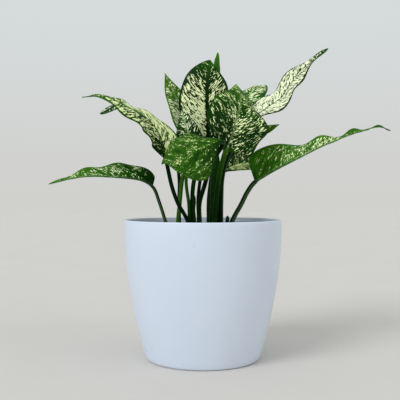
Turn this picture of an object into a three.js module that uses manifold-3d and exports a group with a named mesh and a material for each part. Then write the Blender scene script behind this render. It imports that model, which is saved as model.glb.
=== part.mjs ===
// A young potted chinese evergreen: cream-spotted leaves on long stalks that stand in the soil
// of a smooth round plastic pot. Millimetres, +Z up, origin at the middle of the pot's flat base.
// The plant's front is towards -Y, with +X on its right-hand side.

import * as THREE from 'three';
import { mergeVertices } from 'three/addons/utils/BufferGeometryUtils.js';
import Module from 'manifold-3d';

const wasm = await Module();
wasm.setup();

// Driving dimensions

const clearance = 0.3;

const pot = {
  height: 140.5,
  rimRadius: 80,
  taper: 22.5, // how much narrower the foot is than the rim, on the radius
  wall: 2.4,
  floor: 3,
  footRounding: 2.5,
  lip: 1.2,
  insideLevels: [12, 28, 48, 72, 96, 117], // heights of the rings inside, shared with the soil
  sides: 48,
  color: 0xdfe8f2,
};

const soil = {
  top: 121,
  mound: 2, // rise of the middle above the edge
  crumb: 1, // height of the lumps
  color: 0x3b2c22,
};

const root = {
  end: 97, // how deep the stalks reach in the soil
  upright: 110, // below this height a stalk stands plumb in its hole
  holeSides: 12,
  holeGap: 0.5,
};

const blade = {
  thickness: 0.8,
  steps: 13, // rings from the foot of the blade to its tip
  lastRing: 0.985,
  crowding: 1.15, // above 1 the rings stand closer together at the foot
  stalkSteps: 6,
  across: [-1, -0.7, -0.38], // where the rings have points between the margin and the midrib
  foot: 0.09, // share of the blade over which the round stalk flattens into it
  keelHalfWidth: 1.5,
  keelHeight: 1.5,
  ruffle: [0.03, 0.03], // how much the waves also draw the margins in and out
};

// Each leaf: the middle of its stalk stands at root [x, y] in the soil, passes through the stalk
// points and runs on as the midrib through the rib points, from the foot of the blade to its tip.
// face is the way the upper side looks. leftRise and rightRise say how far each half of the blade
// is lifted from square to face, in degrees, at the foot, the middle and the tip of the blade.
const leaves = [
  {
    name: 'leaf_lower_left',
    root: [-33, -6],
    stalk: [[-38, -6, 139], [-44, -7, 158]],
    rib: [[-50, -9, 173], [-60, -11, 180], [-85, -16, 183.5], [-119, -24, 183.5], [-151, -30, 176]],
    stalkRadius: 1.8,
    face: [0, 0, 1],
    width: 38, widest: [0.34, 0.3], fullness: [1.15, 1.15], foot: 0.05,
    leftRise: [-6, -4, -4], rightRise: [60, 42, 28], curl: -20,
    wave: [0.4, 1.9], waves: 3.5, leftPhase: 0.5, rightPhase: 5.89,
    steps: 17,
    color: 0x3f6b1f,
  },
  {
    name: 'leaf_middle_left',
    root: [-14, -10],
    stalk: [[-15.5, -10, 139], [-25, -14, 157], [-31, -17, 174]],
    rib: [[-36, -20, 197], [-42, -24, 222], [-54, -30, 239], [-73, -38, 250], [-95, -44, 259.5],
      [-115, -50, 258]],
    stalkRadius: 2,
    face: [0, -0.55, 0.83],
    width: 42, widest: [0.34, 0.3], fullness: [1.8, 1.4],
    leftRise: [60, -8, 14], rightRise: [0, -10, -5], curl: -16,
    wave: [0.8, 1.1], waves: 4.6, leftPhase: 0, rightPhase: 1.2,
    color: 0x8fa45f,
  },
  {
    name: 'leaf_behind_middle_left',
    root: [-24.5, 16],
    stalk: [[-24.5, 16, 139], [-25, 18, 160], [-25, 20, 183]],
    rib: [[-29, 18, 207], [-44, 11, 231], [-64, 3, 247], [-86, -3, 256], [-104, -8, 247]],
    stalkRadius: 1.8,
    face: [0, -0.5, 0.86],
    width: 36, widest: [0.5, 0.5], fullness: [0.8, 0.8],
    leftRise: [40, 25, -10], rightRise: [0, -20, -10], curl: -14,
    wave: [1.2, 0.8], waves: 2.4, leftPhase: 1, rightPhase: 0,
    color: 0x4f7a52,
  },
  {
    name: 'leaf_upright_left',
    root: [-26, 5],
    stalk: [[-25.5, 5, 139], [-24, 7, 156], [-21.5, 12, 181]],
    rib: [[-16, 23, 208], [-18, 28, 233], [-23.5, 29, 256], [-31.5, 26, 275], [-40, 20, 294]],
    stalkRadius: 2.1,
    face: [-0.35, -0.93, 0],
    width: 30, widest: [0.5, 0.4], fullness: [1.2, 1.3],
    leftRise: [68, 60, 30], rightRise: [10, 5, 5], curl: -10,
    wave: [1.0, 1.0], waves: 2, leftPhase: 0.5, rightPhase: 2,
    color: 0x5c8a34,
  },
  {
    name: 'leaf_young',
    root: [-13.5, -3.5],
    stalk: [[-13.8, -3.9, 139], [-14.3, -4.8, 156], [-17, -5.6, 178]],
    rib: [[-15.5, -4, 199], [-12, -5, 214], [-14.5, -4, 228], [-19, -2, 242], [-22, 2, 252]],
    stalkRadius: 1.7,
    face: [-0.2, -1, 0.1],
    width: 28, widest: [0.4, 0.4], fullness: [1.1, 1.1],
    leftRise: [10, 5, 5], rightRise: [25, 15, 12], curl: -8,
    wave: [0.8, 0.8], waves: 2, leftPhase: 0, rightPhase: 1.5,
    color: 0x3c6b22,
  },
  {
    name: 'leaf_upright_center',
    root: [-8.5, -2],
    stalk: [[-9, -2, 139], [-10.8, -1, 160], [-9, 3, 181], [-2, 9, 204]],
    rib: [[5, 15, 221], [6, 17, 238], [5, 17, 262], [5, 19, 283], [8, 24, 308]],
    stalkRadius: 2.2,
    face: [-0.1, -1, 0.15],
    width: 60, widest: [0.52, 0.42], fullness: [0.72, 1.1],
    leftRise: [20, 4, 0], rightRise: [36, 36, 22], curl: -14,
    wave: [1.2, 1.2], waves: 2.2, leftPhase: 0.4, rightPhase: 2.4,
    color: 0xc3cb93,
  },
  {
    name: 'leaf_rolled',
    root: [-4.5, 5.5],
    stalk: [[-4.5, 5.5, 139], [-5, 8, 160], [-3, 13, 180], [3, 23, 213]],
    rib: [[9, 30, 245], [13, 34, 280], [16, 34, 318]],
    stalkRadius: 1.8,
    rolledRadius: 4.2,
    face: [0, -1, 0],
    color: 0x5b8f35,
  },
  {
    name: 'leaf_center_right',
    root: [11.5, -7.6],
    stalk: [[11.5, -8.2, 139], [14, -12, 168], [16.5, -18, 186]],
    rib: [[21.5, -27, 207], [28, -28, 223], [33, -24, 240], [37, -16.5, 255], [37.5, -7, 267],
      [34, 2, 279]],
    stalkRadius: 2.4,
    face: [0.45, -1, 0.35],
    width: 62, widest: [0.42, 0.33], fullness: [0.95, 0.72],
    leftRise: [20, -4, -5], rightRise: [15, 8, -50], curl: -22,
    wave: [2.0, 2.6], ruffle: [0.03, 0.1], waves: 2.4, leftPhase: 1.6, rightPhase: 0,
    color: 0x66833c,
  },
  {
    name: 'leaf_back_right',
    root: [5.6, 6.6],
    stalk: [[5.6, 6.6, 139], [6.2, 12, 165], [13, 22, 202]],
    rib: [[29, 30, 234], [39, 35, 254], [50, 41, 271], [56, 50, 283], [58, 61, 286], [58.5, 73, 281],
      [58.5, 83, 270]],
    stalkRadius: 1.9,
    face: [-0.4, -0.6, 0.7],
    width: 31, widest: [0.5, 0.5], fullness: [0.8, 0.8],
    leftRise: [15, -5, -5], rightRise: [10, -25, -20], curl: -16,
    wave: [1.4, 1.4], waves: 2.4, leftPhase: 0.2, rightPhase: 2,
    color: 0x5a8a5c,
  },
  {
    name: 'leaf_upper_right',
    root: [18.5, 0],
    stalk: [[18.5, 0, 139], [18.8, 1, 160], [20, 3, 183], [25, 5, 202], [35, 6, 222]],
    rib: [[49, 6, 242], [66, 7, 255], [81, 7, 266], [89, 6, 278], [98, 4, 290], [109, 1, 300],
      [127, -4, 314]],
    stalkRadius: 2.2,
    face: [-0.59, -0.5, 0.64],
    width: 42, widest: [0.3, 0.28], fullness: [0.95, 1.25],
    leftRise: [10, 2, 2], rightRise: [10, 2, 2], curl: -20,
    wave: [2.4, 2.4], ruffle: [0.05, 0.14], waves: 2.6, leftPhase: 4.4, rightPhase: 0.9,
    steps: 15,
    color: 0xd9dfb8,
  },
  {
    name: 'leaf_small_right',
    root: [11, 7.5],
    stalk: [[11, 7.5, 139], [12, 9, 160], [18.5, 11, 186], [26, 13, 203]],
    rib: [[39, 15, 216], [52, 18, 226], [67, 21, 234], [81, 25, 240]],
    stalkRadius: 1.6,
    face: [0, -0.7, 0.7],
    width: 15, widest: [0.45, 0.45], fullness: [1.0, 1.0],
    leftRise: [22, 14, 10], rightRise: [22, 14, 10], curl: -10,
    wave: [0.7, 0.7], waves: 2, leftPhase: 0, rightPhase: 2,
    color: 0x6d8c3a,
  },
  {
    name: 'leaf_low_back',
    root: [16.5, 7],
    stalk: [[16.5, 7, 139], [17, 12, 158], [17, 18, 176]],
    rib: [[21, 24, 189], [35, 34, 198], [51, 46, 201], [72, 61, 203], [92, 74, 202]],
    stalkRadius: 1.8,
    face: [0.1, -0.45, 0.88],
    width: 36, widest: [0.36, 0.36], fullness: [1.0, 1.0],
    leftRise: [25, 14, 8], rightRise: [10, 0, 0], curl: -16,
    wave: [1.2, 1.2], waves: 2.4, leftPhase: 0, rightPhase: 1,
    color: 0x6f8440,
  },
  {
    name: 'leaf_lower_right',
    root: [26, 2],
    stalk: [[30, 2, 139], [39, 1, 156], [45.5, 0, 169]],
    rib: [[52, -3, 178], [61, -4, 184], [71, -5, 190], [95, -8, 202.5], [128, -10, 218.5],
      [160, -10, 230], [178, -8, 234], [190, -6, 230.5]],
    stalkRadius: 2.5,
    face: [0, 0, 1],
    width: 57, widest: [0.18, 0.2], fullness: [1.9, 1.3], foot: 0.045,
    leftRise: [88, 32, 34], rightRise: [-3, -3, -3], curl: -16,
    wave: [3.6, 0.6], waves: 3.85, crowding: 1.8, leftPhase: 6.15, rightPhase: 2,
    steps: 24,
    color: 0x4a7326,
  },
  {
    name: 'leaf_front',
    root: [-3.3, -14],
    stalk: [[-3.3, -15, 139], [-3.5, -22, 157], [1.5, -31, 175], [8.5, -40.5, 198]],
    rib: [[19, -44, 214], [16.5, -50, 217], [7, -56, 212], [-8, -61, 205.5], [-23, -62, 200],
      [-39, -60, 194]],
    stalkRadius: 2.2,
    face: [-0.2, -0.8, 0.6],
    width: 60, widest: [0.61, 0.58], fullness: [1.65, 0.85],
    leftRise: [-25, -28, 55], rightRise: [-10, -6, -8], curl: -15,
    wave: [1.6, 1.2], waves: 2.2, leftPhase: 0, rightPhase: 2,
    color: 0x587f27,
  },
];

// The canes that the stalks stand round, and a new shoot: round all the way up
const canes = [
  {
    name: 'cane_left',
    root: [-11.5, 4],
    stalk: [[-11.5, 4, 136]],
    rib: [[-11.2, 4.6, 146], [-10.6, 6, 156], [-9.6, 8, 166]],
    stalkRadius: 3.2,
    rolledRadius: 3.2,
    steps: 6,
    face: [0, -1, 0],
    color: 0x55702f,
  },
  {
    name: 'cane_right',
    root: [11.2, 0.2],
    stalk: [[11.2, 0.2, 136]],
    rib: [[11.2, 0.6, 148], [11.8, 2, 164], [12.4, 3.4, 184], [15, 5, 208]],
    stalkRadius: 4.6,
    rolledRadius: 4.6,
    face: [0, -1, 0],
    color: 0x55702f,
  },
  {
    name: 'new_shoot',
    root: [24.5, -4],
    stalk: [[24.5, -4, 128]],
    rib: [[24.5, -4, 132], [24.7, -4, 138], [25, -4, 144.5]],
    stalkRadius: 2,
    rolledRadius: 2,
    steps: 6,
    face: [0, -1, 0],
    color: 0x6f8a45,
  },
];

// Shared helpers

const degrees = Math.PI / 180;

function smooth(from, to, value) {
  return THREE.MathUtils.smoothstep(value, from, to);
}

// The value at v of a quantity given at the foot (0), the middle (0.5) and the tip (1)
function throughThree([foot, middle, tip], v) {
  return foot * (1 - v) * (1 - 2 * v) + 4 * middle * v * (1 - v) - tip * v * (1 - 2 * v);
}

function toManifold(geometry) {
  const bare = geometry.clone();
  bare.deleteAttribute('normal');
  bare.deleteAttribute('uv');
  const merged = mergeVertices(bare, 1e-4);
  return new wasm.Manifold(new wasm.Mesh({
    numProp: 3,
    vertProperties: new Float32Array(merged.attributes.position.array),
    triVerts: new Uint32Array(merged.index.array),
  }));
}

function fromManifold(solid) {
  const mesh = solid.getMesh();
  const geometry = new THREE.BufferGeometry();
  geometry.setAttribute('position', new THREE.BufferAttribute(mesh.vertProperties, 3));
  geometry.setIndex(new THREE.BufferAttribute(mesh.triVerts, 1));
  geometry.computeVertexNormals();
  return geometry;
}

function namedMesh(name, geometry, color, roughness) {
  const material = new THREE.MeshStandardMaterial({ color, roughness, metalness: 0 });
  const mesh = new THREE.Mesh(geometry, material);
  mesh.name = name;
  return mesh;
}

function latheUp(profile, sides) {
  return new THREE.LatheGeometry(profile, sides).rotateX(Math.PI / 2);
}

// Pot: the outer wall bellies out and stands nearly upright at the rim

function potRadius(z) {
  const under = 1 - z / pot.height;
  return pot.rimRadius - pot.taper * under * under;
}

function footInset(z) {
  const rounding = pot.footRounding;
  const drop = Math.max(0, rounding - z);
  return rounding - Math.sqrt(rounding * rounding - drop * drop);
}

function potGeometry() {
  const profile = [new THREE.Vector2(0, 0)];
  for (const z of [0, 0.5, 2, 4, 14, 28, 42, 58, 76, 100, pot.height - pot.lip]) {
    profile.push(new THREE.Vector2(potRadius(z) - footInset(z), z));
  }
  const rim = potRadius(pot.height);
  profile.push(new THREE.Vector2(rim - pot.lip / 2, pot.height));
  profile.push(new THREE.Vector2(rim - pot.wall + pot.lip / 2, pot.height));
  for (const z of [pot.height - pot.lip, ...[...pot.insideLevels].reverse()]) {
    profile.push(new THREE.Vector2(potRadius(z) - pot.wall, z));
  }
  profile.push(new THREE.Vector2(potRadius(pot.floor) - pot.footRounding - 1, pot.floor));
  profile.push(new THREE.Vector2(0, pot.floor));
  return latheUp(profile, pot.sides);
}

// Soil: fills the pot, with a low mound and lumps on top and a plain hole for each stem

function soilHeight(x, y) {
  const radius = Math.hypot(x, y) / pot.rimRadius;
  const lumps = Math.sin(x * 0.31 + 1.3) * Math.cos(y * 0.27) + Math.sin(x * 0.17 - y * 0.23 + 2);
  return soil.top - soil.mound * radius * radius + soil.crumb * lumps / 2;
}

function soilBody() {
  const inner = z => potRadius(z) - pot.wall - clearance;
  const bottom = pot.floor + clearance;
  const edge = pot.insideLevels[pot.insideLevels.length - 1];
  const profile = [new THREE.Vector2(0, bottom)];
  profile.push(new THREE.Vector2(potRadius(bottom) - pot.footRounding - 2, bottom));
  for (const z of pot.insideLevels) {
    profile.push(new THREE.Vector2(inner(z), z));
  }
  for (const share of [0.99, 0.82, 0.64, 0.46, 0.28, 0.12]) {
    profile.push(new THREE.Vector2(inner(edge) * share, soil.top));
  }
  profile.push(new THREE.Vector2(0, soil.top));
  const geometry = latheUp(profile, pot.sides);
  const position = geometry.attributes.position;
  for (let i = 0; i < position.count; i += 1) {
    if (position.getZ(i) > edge + 0.01) {
      position.setZ(i, soilHeight(position.getX(i), position.getY(i)));
    }
  }
  return geometry;
}

function plainHole([x, y], radius) {
  const height = soil.top + 10 - root.end + clearance;
  const hole = new THREE.CylinderGeometry(radius, radius, height, root.holeSides);
  hole.rotateX(Math.PI / 2);
  hole.translate(x, y, root.end - clearance + height / 2);
  return hole;
}

function soilGeometry() {
  let solid = toManifold(soilBody());
  for (const stem of [...leaves, ...canes]) {
    solid = solid.subtract(toManifold(plainHole(stem.root, stem.stalkRadius + root.holeGap)));
  }
  return fromManifold(solid);
}

// Leaves: one closed skin, round along the stalk and flat and waved in the blade

// The width of the left (side -1) or right (side 1) half of the blade at v
function halfWidth(leaf, v, side) {
  const half = side < 0 ? 0 : 1;
  const widest = leaf.widest[half];
  const narrowing = leaf.fullness[half];
  const widening = narrowing * widest / (1 - widest);
  const shape = at => at ** widening * (1 - at) ** narrowing;
  return leaf.width / 2 * shape(v) / shape(widest);
}

// Points of the blade's section: [sideways, upwards] for u from -1 (left margin) to 1 (right)
function bladePoint(leaf, v, u) {
  const side = u < 0 ? -1 : 1;
  const share = Math.abs(u);
  const rises = side < 0 ? leaf.leftRise : leaf.rightRise;
  const phase = side < 0 ? leaf.leftPhase : leaf.rightPhase;
  const height = leaf.wave[side < 0 ? 0 : 1];
  const angle = (throughThree(rises, v) + leaf.curl * (share - 1) / 2) * degrees;
  const turn = 2 * Math.PI * leaf.waves * v ** (leaf.crowding ?? 1) + phase;
  const ripple = Math.sin(turn) * Math.sqrt(Math.sin(Math.PI * v));
  const ruffle = (leaf.ruffle ?? blade.ruffle)[side < 0 ? 0 : 1];
  const reach = halfWidth(leaf, v, side) * share * (1 + ruffle * share * Math.cos(turn));
  const lift = height * ripple * share * share;
  return {
    sideways: side * (reach * Math.cos(angle) - lift * Math.sin(angle)),
    upwards: reach * Math.sin(angle) + lift * Math.cos(angle),
    lean: side * angle,
  };
}

// The ring of points round the leaf at v, left to right on top and back underneath
function bladeRing(leaf, v) {
  const keelShare = side => Math.min(0.3, blade.keelHalfWidth / halfWidth(leaf, v, side));
  const left = [...blade.across, -keelShare(-1)];
  const right = [keelShare(1), ...blade.across.map(u => -u).reverse()];
  const top = [];
  const under = [];
  for (const u of [...left, 0, ...right]) {
    const point = bladePoint(leaf, v, u);
    const lean = u === 0
      ? (bladePoint(leaf, v, 1e-3).lean + bladePoint(leaf, v, -1e-3).lean) / 2
      : point.lean;
    const onKeel = u === 0 ? 1 : 0.4 * (Math.abs(u) <= keelShare(Math.sign(u)));
    const keel = blade.keelHeight * (1 - v) * onKeel;
    const up = blade.thickness / 2;
    const down = up + keel;
    top.push([point.sideways - up * Math.sin(lean), point.upwards + up * Math.cos(lean)]);
    under.unshift([point.sideways + down * Math.sin(lean), point.upwards - down * Math.cos(lean)]);
  }
  return [...top, ...under];
}

function roundRing(radius, count) {
  const ring = [];
  for (let i = 0; i < count; i += 1) {
    const angle = Math.PI - (i + 0.5) * 2 * Math.PI / count;
    ring.push([radius * Math.cos(angle), radius * Math.sin(angle)]);
  }
  return ring;
}

function leafRing(leaf, v) {
  const count = 2 * (2 * blade.across.length + 3);
  if (leaf.rolledRadius) {
    const along = Math.max(v, 0);
    const swelling = (4 * along * (1 - along)) ** 0.5;
    const taper = leaf.stalkRadius * (1 - along);
    return roundRing(taper + (leaf.rolledRadius - taper) * swelling, 10);
  }
  const stalk = roundRing(leaf.stalkRadius, count);
  if (v <= 0) {
    return stalk;
  }
  const flat = bladeRing(leaf, v);
  const share = smooth(0, leaf.foot ?? blade.foot, v);
  return flat.map(([x, z], i) => [
    THREE.MathUtils.lerp(stalk[i][0], x, share),
    THREE.MathUtils.lerp(stalk[i][1], z, share),
  ]);
}

// Stations from the root (v below 0) along the stalk and the blade (v from 0 to 1) to the tip,
// with the place, direction and sideways axis of each
function leafStations(leaf) {
  const [x, y] = leaf.root;
  const foot = [[x, y, root.end], [x, y, root.upright], [x, y, soil.top + 1]];
  const points = [...foot, ...leaf.stalk, ...leaf.rib].map(point => new THREE.Vector3(...point));
  const path = new THREE.CatmullRomCurve3(points);
  path.arcLengthDivisions = 40 * (points.length - 1);
  const lengths = path.getLengths();
  const total = lengths[lengths.length - 1];
  const ribStart = lengths[40 * (foot.length + leaf.stalk.length)] / total;
  const soilEnd = lengths[40 * 2] / total;
  const places = [0];
  for (let i = 0; i <= blade.stalkSteps; i += 1) {
    places.push(THREE.MathUtils.lerp(soilEnd, ribStart, i / blade.stalkSteps));
  }
  const stations = places.map(place => ({ v: Math.min(0, place - ribStart), place }));
  const steps = leaf.steps ?? blade.steps;
  for (let i = 1; i <= steps; i += 1) {
    const v = blade.lastRing * (i / steps) ** blade.crowding;
    stations.push({ v, place: THREE.MathUtils.lerp(ribStart, 1, v) });
  }
  const face = new THREE.Vector3(...leaf.face).normalize();
  for (const station of stations) {
    station.at = path.getPointAt(station.place);
    station.along = path.getTangentAt(station.place);
  }
  let sideways = new THREE.Vector3();
  for (const station of [...stations].reverse()) {
    if (station.v > 0) {
      sideways = station.along.clone().cross(face);
    } else {
      sideways = sideways.clone().addScaledVector(station.along, -sideways.dot(station.along));
    }
    sideways.normalize();
    station.sideways = sideways;
    station.upwards = sideways.clone().cross(station.along).normalize();
  }
  return { stations, tip: path.getPointAt(1) };
}

function leafGeometry(leaf) {
  const { stations, tip } = leafStations(leaf);
  const positions = [];
  const triangles = [];
  let ringSize = 0;
  for (const station of stations) {
    const ring = leafRing(leaf, station.v);
    ringSize = ring.length;
    for (const [x, z] of ring) {
      const point = station.at.clone();
      point.addScaledVector(station.sideways, x);
      point.addScaledVector(station.upwards, z);
      positions.push(point.x, point.y, point.z);
    }
  }
  for (let i = 0; i + 1 < stations.length; i += 1) {
    for (let j = 0; j < ringSize; j += 1) {
      const next = (j + 1) % ringSize;
      const a = i * ringSize + j;
      const b = i * ringSize + next;
      const c = a + ringSize;
      const d = b + ringSize;
      // both faces of the blade are split along the same diagonal
      if (j < ringSize / 2) {
        triangles.push(a, b, d, a, d, c);
      } else {
        triangles.push(a, b, c, b, d, c);
      }
    }
  }
  const start = stations[0].at;
  const startIndex = positions.length / 3;
  positions.push(start.x, start.y, start.z, tip.x, tip.y, tip.z);
  const lastRing = (stations.length - 1) * ringSize;
  for (let j = 0; j < ringSize; j += 1) {
    const next = (j + 1) % ringSize;
    triangles.push(startIndex, next, j);
    triangles.push(startIndex + 1, lastRing + j, lastRing + next);
  }
  const geometry = new THREE.BufferGeometry();
  geometry.setAttribute('position', new THREE.Float32BufferAttribute(positions, 3));
  geometry.setIndex(triangles);
  geometry.computeVertexNormals();
  return geometry;
}

// The whole object

const plant = new THREE.Group();
plant.add(namedMesh('pot', potGeometry(), pot.color, 0.32));
plant.add(namedMesh('soil', soilGeometry(), soil.color, 0.95));
for (const stem of [...canes, ...leaves]) {
  plant.add(namedMesh(stem.name, leafGeometry(stem), stem.color, 0.45));
}

export default plant;
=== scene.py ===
# A young chinese evergreen in its pot: cream-flecked leaves on long stalks that stand in soil,
# in a smooth cool-white moulded pot. Sizes in the dictionaries are millimetres.

import math
import random

import bpy
import numpy as np
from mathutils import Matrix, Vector


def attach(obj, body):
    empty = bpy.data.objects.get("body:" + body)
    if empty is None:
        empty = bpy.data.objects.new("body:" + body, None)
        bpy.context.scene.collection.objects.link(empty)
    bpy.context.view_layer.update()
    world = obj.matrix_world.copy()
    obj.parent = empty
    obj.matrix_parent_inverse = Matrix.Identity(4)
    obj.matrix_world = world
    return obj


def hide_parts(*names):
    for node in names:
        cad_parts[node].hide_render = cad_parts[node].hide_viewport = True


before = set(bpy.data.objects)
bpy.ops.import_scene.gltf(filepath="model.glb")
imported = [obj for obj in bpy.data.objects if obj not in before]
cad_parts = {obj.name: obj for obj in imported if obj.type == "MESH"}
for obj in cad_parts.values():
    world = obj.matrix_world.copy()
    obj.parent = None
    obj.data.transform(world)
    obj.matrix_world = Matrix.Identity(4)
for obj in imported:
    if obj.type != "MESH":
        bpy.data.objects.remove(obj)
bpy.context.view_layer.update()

mm = 0.001
firstRing = 1              # radius of the small circle that each turned piece grows from


def linearColor(hexValue):
    channels = [int(hexValue[i:i + 2], 16) / 255 for i in (1, 3, 5)]
    linear = [c / 12.92 if c <= 0.04045 else ((c + 0.055) / 1.055) ** 2.4 for c in channels]
    return (*linear, 1.0)


def deselectAll():
    bpy.ops.object.select_all(action="DESELECT")


def smoothStep(low, high, value):
    share = np.clip((value - low) / (high - low), 0, 1)
    return share * share * (3 - 2 * share)


def throughThree(values, v):
    # the value at v of something given at the foot, the middle and the tip of a leaf
    foot, middle, tip = values
    return foot * (1 - v) * (1 - 2 * v) + 4 * middle * v * (1 - v) - tip * v * (1 - 2 * v)


def byHalf(right, pair):
    # pair holds what the left half of a blade has, and then the right half
    return np.where(right, pair[1], pair[0])


def setSockets(tree, node, sockets):
    # a socket is given a value, a socket, or a node, which stands for its first output
    for key, value in sockets.items():
        if isinstance(value, bpy.types.Node):
            value = next(output for output in value.outputs if output.enabled)
        if isinstance(value, bpy.types.NodeSocket):
            tree.links.new(value, node.inputs[key])
        else:
            node.inputs[key].default_value = value


def addNode(tree, kind, sockets=None, stops=(), **settings):
    node = tree.nodes.new("ShaderNode" + kind)
    for key, value in settings.items():
        setattr(node, key, value)
    setSockets(tree, node, sockets or {})
    if stops:
        elements = node.color_ramp.elements
        while len(elements) < len(stops):
            elements.new(0.5)
        for element, (place, tone) in zip(elements, stops):
            element.position = place
            element.color = linearColor(tone)
    return node


def newMaterial(name, shaderSockets):
    material = bpy.data.materials.new(name)
    material.use_nodes = True
    tree = material.node_tree
    tree.nodes.clear()
    shader = addNode(tree, "BsdfPrincipled", shaderSockets)
    addNode(tree, "OutputMaterial", {"Surface": shader})
    return material, tree, shader


viewing = {
    "place": (-3, -690, 166),  # the eye, just over the rim of the pot
    "pitch": -0.47,            # degrees, a hair below level
    "lens": 60.84,
    "sensor": 36,
}

scene = bpy.context.scene
scene.view_settings.view_transform = "Standard"

cameraData = bpy.data.cameras.new("camera")
cameraData.lens = viewing["lens"]
cameraData.sensor_width = viewing["sensor"]
camera = bpy.data.objects.new("camera", cameraData)
camera.location = Vector(viewing["place"]) * mm
camera.rotation_euler = (math.radians(90 + viewing["pitch"]), 0, 0)
scene.collection.objects.link(camera)
scene.camera = camera

studio = {
    "floorRadius": 6000,
    "floorColors": ("#cdc9c4", "#d3cfca"),
    "floorScale": 9,           # clouds of tone about 110 mm across
    "airLow": "#d0d0cd",       # the air at the height of the floor's far edge
    "airHigh": "#d6dbdc",
    "airRise": 0.25,           # how far up the air reaches its high colour, 1 is overhead
    "softness": 28,            # degrees of sky that each light fills
    # turn is in degrees to the right of the camera, so the key light stands on the left
    "lights": {
        "keyLight": {"turn": -44, "rise": 36, "strength": 1.6, "tint": "#fafcff"},
        "fillLight": {"turn": 62, "rise": 22, "strength": 0.35, "tint": "#fffaf4"},
    },
}

for name, look in studio["lights"].items():
    lightData = bpy.data.lights.new(name, "SUN")
    lightData.energy = look["strength"]
    lightData.angle = math.radians(studio["softness"])
    lightData.color = linearColor(look["tint"])[:3]
    light = bpy.data.objects.new(name, lightData)
    light.rotation_euler = (math.radians(90 - look["rise"]), 0, math.radians(look["turn"]))
    scene.collection.objects.link(light)

world = bpy.data.worlds.new("studioAir")
scene.world = world
world.use_nodes = True
airTree = world.node_tree
airPlace = addNode(airTree, "TexCoord").outputs["Generated"]
airParts = addNode(airTree, "SeparateXYZ", {"Vector": airPlace})
airShare = addNode(airTree, "MapRange", {
    "Value": airParts.outputs["Z"], "From Max": studio["airRise"]})
airColor = addNode(airTree, "Mix", {
    "Factor": airShare,
    "A": linearColor(studio["airLow"]),
    "B": linearColor(studio["airHigh"])}, data_type="RGBA")
setSockets(airTree, airTree.nodes["Background"], {"Color": airColor})

deselectAll()
bpy.ops.mesh.primitive_circle_add(vertices=96, radius=studio["floorRadius"] * mm, fill_type="NGON")
floor = bpy.context.object
floor.name = "studioFloor"
floorMaterial, floorTree, floorShader = newMaterial("painted_studio_board", {
    "Roughness": 0.75, "Specular IOR Level": 0.2})
floorPlace = addNode(floorTree, "TexCoord").outputs["Object"]
floorDrift = addNode(floorTree, "TexNoise", {
    "Vector": floorPlace, "Scale": studio["floorScale"], "Detail": 4})
floorTone = addNode(floorTree, "Mix", {
    "Factor": floorDrift,
    "A": linearColor(studio["floorColors"][0]),
    "B": linearColor(studio["floorColors"][1])}, data_type="RGBA")
setSockets(floorTree, floorShader, {"Base Color": floorTone})
floor.data.materials.append(floorMaterial)
print("stage: camera, floor and light")


pot = {
    "height": 140.5,
    "rimRadius": 80,
    "taper": 22.5,         # how much narrower the foot is than the rim, on the radius
    "wall": 2.4,
    "floor": 3,            # thickness of the base
    "baseRing": 30,        # a ring in the flat base, to keep its faces short
    "footRounding": 2.5,
    "insideRounding": 3.5,
    "sideStart": 8,        # height at which the plain side begins
    "lip": 1.2,            # height of the rounded lip
    "sides": 160,
    "footSteps": 6,
    "lipSteps": 9,
    "outerRows": 24,
    "innerRows": 20,
    "colors": ("#ccd6e5", "#d2dcea"),
    "roughness": (0.26, 0.32),
    "toneScale": 14,       # clouds of tone about 70 mm across
    "handlingScale": 22,   # duller and glossier places about 45 mm across
    "grainScale": 900,     # grain of 1.1 mm, coarser than the real one so that it shows
}


def potRadius(z):
    under = 1 - z / pot["height"]
    return pot["rimRadius"] - pot["taper"] * under * under


def potRings():
    height, wall, lip, rounding = pot["height"], pot["wall"], pot["lip"], pot["footRounding"]
    rings = [(firstRing, 0), (pot["baseRing"], 0)]
    for step in range(pot["footSteps"] + 1):     # the rounded foot
        angle = math.radians(90 * step / pot["footSteps"])
        z = rounding * (1 - math.cos(angle))
        rings.append((potRadius(z) - rounding * (1 - math.sin(angle)), z))
    for z in np.linspace(pot["sideStart"], height - lip, pot["outerRows"]):
        rings.append((potRadius(z), z))
    middle = potRadius(height) - wall / 2
    for step in range(1, pot["lipSteps"]):       # the rounded lip, over to the inside
        angle = math.radians(180 * step / pot["lipSteps"])
        rings.append((middle + wall / 2 * math.cos(angle), height - lip + lip * math.sin(angle)))
    for z in np.linspace(height - lip, pot["sideStart"], pot["innerRows"]):
        rings.append((potRadius(z) - wall, z))
    rings.append((potRadius(pot["floor"]) - pot["insideRounding"], pot["floor"]))
    rings.append((firstRing, pot["floor"]))
    return rings


def turnedPiece(name, rings, sides):
    # a small circle is extruded ring by ring, each one lifted and scaled, and closed at both ends
    radius, height = rings[0]
    deselectAll()
    bpy.ops.mesh.primitive_circle_add(vertices=sides, radius=radius * mm, fill_type="NOTHING")
    piece = bpy.context.object
    piece.name = name
    bpy.ops.object.mode_set(mode="EDIT")
    bpy.ops.mesh.select_all(action="SELECT")
    bpy.ops.transform.translate(value=(0, 0, height * mm))
    for nextRadius, nextHeight in rings[1:]:
        rise = (0, 0, (nextHeight - height) * mm)
        growth = nextRadius / radius
        bpy.ops.mesh.extrude_region_move(TRANSFORM_OT_translate={"value": rise})
        bpy.ops.transform.resize(value=(growth, growth, 1), center_override=(0, 0, 0))
        radius, height = nextRadius, nextHeight
    bpy.ops.mesh.merge(type="CENTER")
    bpy.ops.mesh.select_all(action="DESELECT")
    bpy.ops.mesh.select_non_manifold()           # the open first ring
    bpy.ops.mesh.merge(type="CENTER")
    bpy.ops.mesh.select_all(action="SELECT")
    bpy.ops.mesh.normals_make_consistent(inside=False)
    bpy.ops.object.mode_set(mode="OBJECT")
    bpy.ops.object.shade_smooth()
    return piece


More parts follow.
